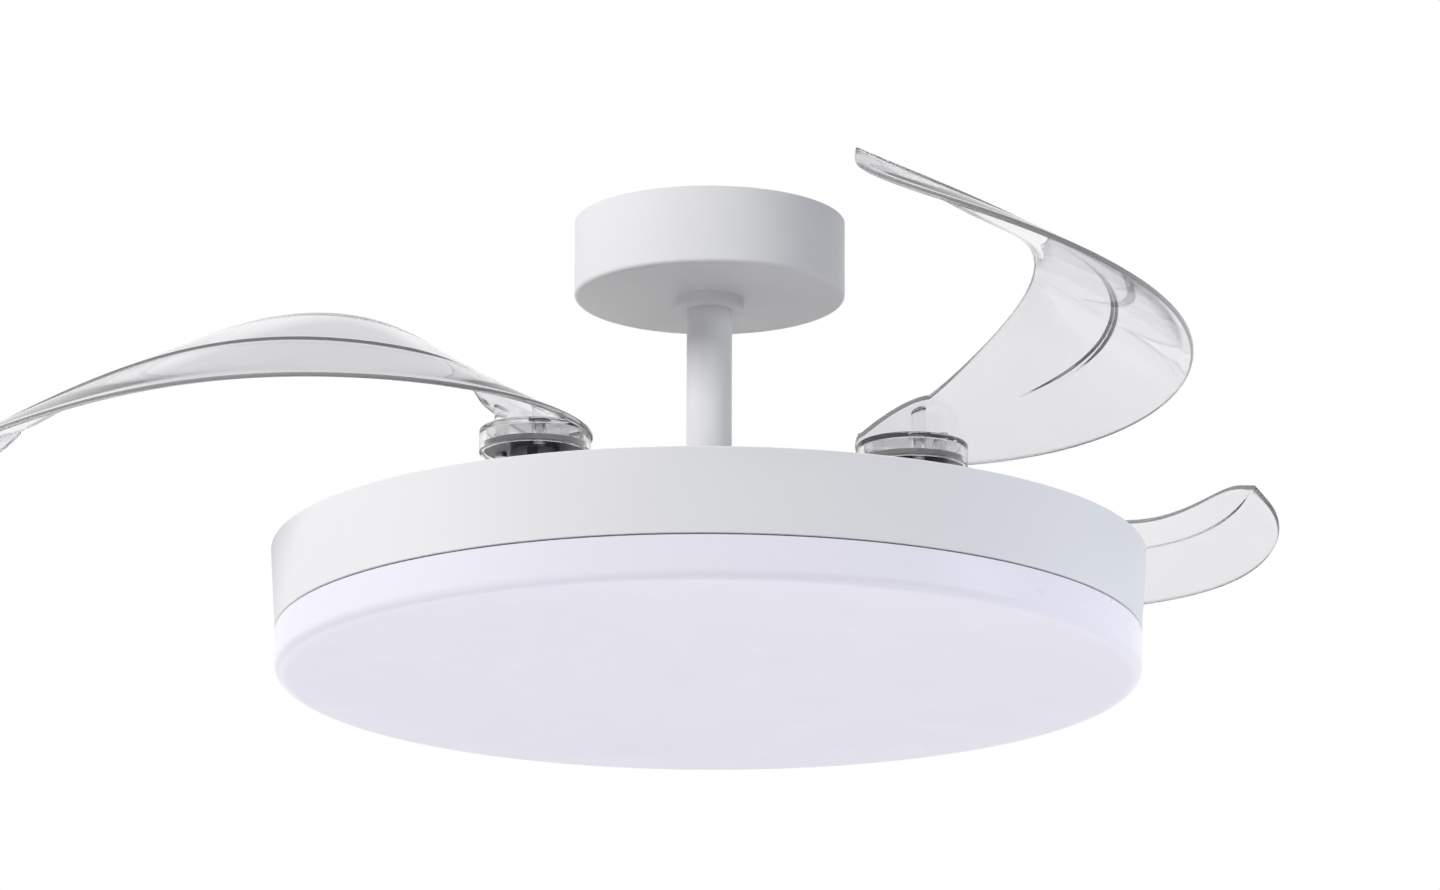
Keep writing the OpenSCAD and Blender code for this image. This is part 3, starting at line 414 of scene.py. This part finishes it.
# ---------- drum band and diffuser ----------
def drum_band():
    top = DRUM_R + FLARE
    outline = rounded([
        (DRUM_R, -DRUM_H, 0.5), (top, 0, 0.7), (top - LIP, 0, 0.5), (top - LIP, -WALL, 0.3),
        (top - WALL, -WALL, 0.6), (DRUM_R - WALL, -DRUM_H + WALL, 0.6),
        (DRUM_R - LIP, -DRUM_H + WALL, 0.3), (DRUM_R - LIP, -DRUM_H, 0.3)])
    v, f = lathe([(r, z - DROP) for r, z in outline], 256)
    return outward(make("band_shell", v, f, [white_paint],
                        "fan_body", ["drum_band"]))


def diffuser():
    low, w = RIM - DIFF_H, DIFF_WALL
    bead = RIM - BEAD_DOWN
    outline = rounded([
        (0, low, 0), (DRUM_R, low, DIFF_ROUND), (DRUM_R, RIM, 0.5), (DRUM_R - w, RIM, 0.5),
        (DRUM_R - w, bead + BEAD_H, 0), (DRUM_R - w - BEAD_IN, bead + BEAD_H, 0.5),
        (DRUM_R - w - BEAD_IN, bead, 0.5),
        (DRUM_R - w, bead, 0), (DRUM_R - w, low + w, DIFF_ROUND - w), (0, low + w, 0)],
        closed=False, steps=9)
    v, f = lathe([(r, z - DROP) for r, z in outline], 256, closed=False)
    return outward(make("diffuser_bowl", v, f, [diffuse_mat],
                        "fan_body", ["diffuser"]))


drum_band()
diffuser()


# ---------- blades ----------
def bern(c, s):
    n = len(c) - 1
    return sum(math.comb(n, k) * s ** k * (1 - s) ** (n - k) * c[k] for k in range(n + 1))


def clamp(v):
    return min(1.0, max(0.0, v))


def bow_at(s):
    t = clamp((s - BOW_FROM) / BOW_FADE)
    return t * t * (3 - 2 * t)


def blade_mesh():
    along = np.linspace(0, KEEP, COURSE_STEPS + 1)
    az = np.radians([bern(HEADING, t) for t in (along[1:] + along[:-1]) / 2])
    course = [np.concatenate([[0], np.cumsum(f(az))]) * BLADE_LEN / COURSE_STEPS
              for f in (np.cos, np.sin)]
    tip_from = KEEP - TIP_PART
    cuts = [tip_from * k / SHEET_RINGS for k in range(SHEET_RINGS + 1)]
    cuts += [tip_from + TIP_PART * math.sin(math.pi / 2 * k / TIP_RINGS)
             for k in range(1, TIP_RINGS + 1)]
    rings = []

    def ring(c, az, pitch, wi, wo, rib, bow):
        az, pitch = math.radians(az), math.radians(pitch)
        out = np.array((-math.sin(az) * math.cos(pitch),
                        math.cos(az) * math.cos(pitch), -math.sin(pitch)))
        up = np.array((-math.sin(az) * math.sin(pitch),
                       math.cos(az) * math.sin(pitch), math.cos(pitch)))
        core_w = min(CORE_W, 0.45 * min(wi, wo))
        e = min(1.0, 0.4 * min(wi, wo))
        xs = [-wi + e + (wi - e - core_w) * k / SIDE_N for k in range(SIDE_N)]
        xs += [core_w * k / CORE_N for k in range(-CORE_N, CORE_N + 1)]
        xs += [core_w + (wo - e - core_w) * k / SIDE_N for k in range(1, SIDE_N + 1)]

        def at(x, side):
            w = wi if x < 0 else wo
            u = abs(x) / w
            half = BLADE_T / 2 * (1 - 0.35 * u ** 6)
            ridge = 0.0
            if side > 0 and abs(x) < RIB_HALF:
                ridge = rib * (0.5 + 0.5 * math.cos(math.pi * abs(x) / RIB_HALF)) ** 0.7
            bead = RIM_H * math.exp(-((1 - u) * w / RIM_W) ** 2) * min(1, w / 12)
            return c + out * x + up * (bow * CAMBER * (1 - u * u) + side * (half + bead) + ridge)

        loop = [at(x, 1) for x in xs]
        for sign, x, w in ((1, xs[-1], wo), (-1, xs[0], wi)):
            u = abs(x) / w
            mid = c + out * x + up * (bow * CAMBER * (1 - u * u))
            half = float(np.linalg.norm(at(x, 1) - mid))
            angles = [60, 30, 0, -30, -60] if sign > 0 else [-60, -30, 0, 30, 60]
            arc = [mid + out * sign * math.cos(math.radians(t)) * e
                   + up * math.sin(math.radians(t)) * half for t in angles]
            loop += arc
            if sign > 0:
                loop += [at(x2, -1) for x2 in reversed(xs)]
        rings.append(loop)
        return len(xs)

    for k in range(ROOT_RINGS):
        t = math.radians(4 + 86 * k / ROOT_RINGS)
        az = math.radians(HEADING[0])
        back = ROOT_R * math.cos(t)
        ring(np.array((-math.cos(az) * back, -math.sin(az) * back, -ROOT_CLIMB * back)),
             HEADING[0], PITCH[0], max(3.2, ROOT_W * math.sin(t) ** 2), ROOT_W * math.sin(t), 0, 0)
    for s in cuts:
        q = clamp((s - tip_from) / TIP_PART)
        share = (1 - min(q, 0.99995) ** TIP_POWER) ** (1 / TIP_POWER)
        rib = RIB_H * clamp((s - RIB_FROM) / RIB_FADE) * share
        c = (np.interp(s, along, course[0]), np.interp(s, along, course[1]), bern(CLIMB, s))
        n = ring(np.array(c), bern(HEADING, s), bern(PITCH, s),
                 bern(INNER, s) * share, bern(OUTER, s) * share, rib, bow_at(s))
    m = len(rings[0])
    verts = [p for r in rings for p in r]
    faces, index = [], []
    for i in range(len(rings) - 1):
        for j in range(m):
            a, b = i * m + j, i * m + (j + 1) % m
            faces.append([a, b, b + m, a + m])
            # rim faces take the copy with painted dark rim lines, rib faces the greyer rib copy,
            # upper faces the copy with painted shade
            rim = n - 1 <= j < n + 5 or j >= 2 * n + 4
            on_rib = abs(j + 0.5 - SIDE_N - CORE_N) < 4 and i > RIB_PLAIN_RINGS
            index.append(1 if rim else 2 if on_rib else 3 if j < n - 1 else 0)
    for i in (0, len(rings) - 1):
        verts.append(np.mean(rings[i], axis=0))
        c = len(verts) - 1
        for j in range(m):
            a, b = i * m + j, i * m + (j + 1) % m
            faces.append([b, a, c] if i == 0 else [a, b, c])
            index.append(1)
    return np.array(verts), faces, index


def turned(verts, i):
    """Pivot frame to row frame for blade i."""
    az = math.radians(PIVOT_AZ + (i - 2) * 120)
    c, s = math.cos(az), math.sin(az)
    v = np.array(verts, float)
    x, y = v[:, 0] + PIVOT_R, v[:, 1].copy()
    v[:, 0], v[:, 1] = x * c - y * s, x * s + y * c
    v[:, 2] += -DROP
    return v


def sheet_level(x, y):
    """Height just under the middle plane of the sloping root, near the pivot."""
    az, t = math.radians(HEADING[0]), math.radians(PITCH[0])
    ahead = x * math.cos(az) + y * math.sin(az)
    out = -x * math.sin(az) + y * math.cos(az)
    return ROOT_LEVEL + ROOT_RISE + ROOT_CLIMB * ahead - math.tan(t) * out - 0.2


def capped(outline, seg, centre=(0, 0)):
    """A lathed piece whose points end inside the sloping sheet."""
    verts, faces = lathe(outline, seg, centre=centre)
    return [(x, y, min(z, sheet_level(x, y))) for x, y, z in verts], faces


sheet_v, sheet_f, sheet_i = blade_mesh()
sheet_v[:, 2] += ROOT_LEVEL + ROOT_RISE
hub_top = ROOT_LEVEL - BOSS_H
under_lid = ROOT_LEVEL - BOSS_LID
cup = rounded([(0, ROOT_LEVEL, 0), (BOSS_R, ROOT_LEVEL, 1.4), (BOSS_R, hub_top - SKIRT_DROP, 0.7),
               (SKIRT_IN, hub_top - SKIRT_DROP, 0.5), (SKIRT_IN, hub_top, 0.2),
               (BOSS_R - BOSS_WALL, hub_top, 0.3), (BOSS_R - BOSS_WALL, under_lid, 1.0),
               (0, under_lid, 0)], closed=False)
pillar = rounded([(2, hub_top, 0.3), (PILLAR_R, hub_top, 0.4), (PILLAR_R, under_lid + 1, 0),
                  (2, under_lid + 1, 0)])
post = rounded([(0, ROOT_LEVEL - 1, 0), (PILLAR_R + POST_FOOT, ROOT_LEVEL - 1, 0),
                (PILLAR_R + POST_FOOT, ROOT_LEVEL, 0),
                (PILLAR_R, ROOT_LEVEL + 1.2, 1.5), (PILLAR_R, 3 * ROOT_LEVEL, 0),
                (0, 3 * ROOT_LEVEL, 0)],
               closed=False)
for i in (1, 2, 3):
    body = f"blade_arm_{i}"
    outward(make(f"blade_sheet_{i}", turned(sheet_v, i), sheet_f,
                 [clear_sheet, clear_edge_shaded, clear_rib, clear_top_shaded], body,
                 [f"blade_{i}"], sheet_i))
    v, f = capped(cup, 96)
    outward(make(f"blade_boss_{i}", turned(v, i), f, [clear_boss], body))
    for k in range(3):
        a = math.radians(60 + 120 * k)
        at = (SCREW_AT * math.cos(a), SCREW_AT * math.sin(a))
        v, f = capped(pillar, 32, at)
        outward(make(f"blade_pillar_{i}_{k + 1}", turned(v, i), f, [clear_boss],
                     body))
        if sheet_level(*at) > ROOT_LEVEL + POST_MIN:
            v, f = capped(post, 32, at)
            outward(make(f"blade_post_{i}_{k + 1}", turned(v, i), f, [clear_post],
                         body))


# ---------- world and lamps ----------
world = bpy.data.worlds.new("world")
bpy.context.scene.world = world
world.use_nodes = True
wn = world.node_tree
wn.nodes.clear()
w_out = wn.nodes.new("ShaderNodeOutputWorld")
plain, shown = wn.nodes.new("ShaderNodeBackground"), wn.nodes.new("ShaderNodeBackground")
plain.inputs[0].default_value = (0.98, 0.985, 1.0, 1)
lean = wn.nodes.new("ShaderNodeMath")
lean.operation = "MULTIPLY_ADD"
lean.inputs[1].default_value = -0.13
lean.inputs[2].default_value = 0.31
w_co, w_xyz = wn.nodes.new("ShaderNodeTexCoord"), wn.nodes.new("ShaderNodeSeparateXYZ")
wn.links.new(w_co.outputs["Generated"], w_xyz.inputs[0])
wn.links.new(w_xyz.outputs["X"], lean.inputs[0])
wn.links.new(lean.outputs[0], plain.inputs[1])
shown.inputs[0].default_value = (1, 1, 1, 1)
shown.inputs[1].default_value = 1.0
path = wn.nodes.new("ShaderNodeLightPath")
seen = wn.nodes.new("ShaderNodeMath")
seen.operation = "MAXIMUM"
wn.links.new(path.outputs["Is Camera Ray"], seen.inputs[0])
wn.links.new(path.outputs["Is Transmission Ray"], seen.inputs[1])
seen2 = wn.nodes.new("ShaderNodeMath")
seen2.operation = "MAXIMUM"
wn.links.new(seen.outputs[0], seen2.inputs[0])
wn.links.new(path.outputs["Is Glossy Ray"], seen2.inputs[1])
w_mix = wn.nodes.new("ShaderNodeMixShader")
wn.links.new(seen2.outputs[0], w_mix.inputs[0])
wn.links.new(plain.outputs[0], w_mix.inputs[1])
wn.links.new(shown.outputs[0], w_mix.inputs[2])
wn.links.new(w_mix.outputs[0], w_out.inputs[0])


def lamp(name, kind, loc, aim, power, color=(1, 1, 1)):
    """A lamp that lights surfaces but leaves no mirror image of itself in clear plastic."""
    data = bpy.data.lights.new(name, kind)
    data.energy = power
    data.color = color
    obj = bpy.data.objects.new(name, data)
    obj.location = loc
    obj.rotation_mode = "QUATERNION"
    obj.rotation_quaternion = (Vector(aim) - Vector(loc)).to_track_quat("-Z", "Y")
    obj.visible_glossy = False
    obj.visible_transmission = False
    bpy.context.scene.collection.objects.link(obj)
    return data


for name, loc, aim, size, power, color in (
        ("key_left", (-1.75, -1.75, 1.5), (0, 0, -0.15), 1.2, 61, (1, 1, 1)),
        ("low_right", (1.0, -0.9, -1.5), (0.1, 0, -0.24), 0.9, 9, (0.95, 0.97, 1.0)),
        ("low_left", (-1.3, -0.3, -1.5), (-0.1, 0, -0.24), 0.9, 7, (1, 1, 1)),
        ("high_back", (0.3, 1.3, 2.0), (0, 0, -0.2), 1.2, 30, (1, 1, 1))):
    data = lamp(name, "AREA", loc, aim, power, color)
    data.shape = "RECTANGLE"
    data.size = data.size_y = size
side = lamp("side_right", "SPOT", (1.5, -0.5, 0.05), (0.15, 0, -0.60), 50, (0.81, 0.87, 1.0))
side.spot_size = math.radians(40)
side.spot_blend = 0.15
side.shadow_soft_size = 0.3

bpy.context.scene.view_settings.view_transform = "Standard"
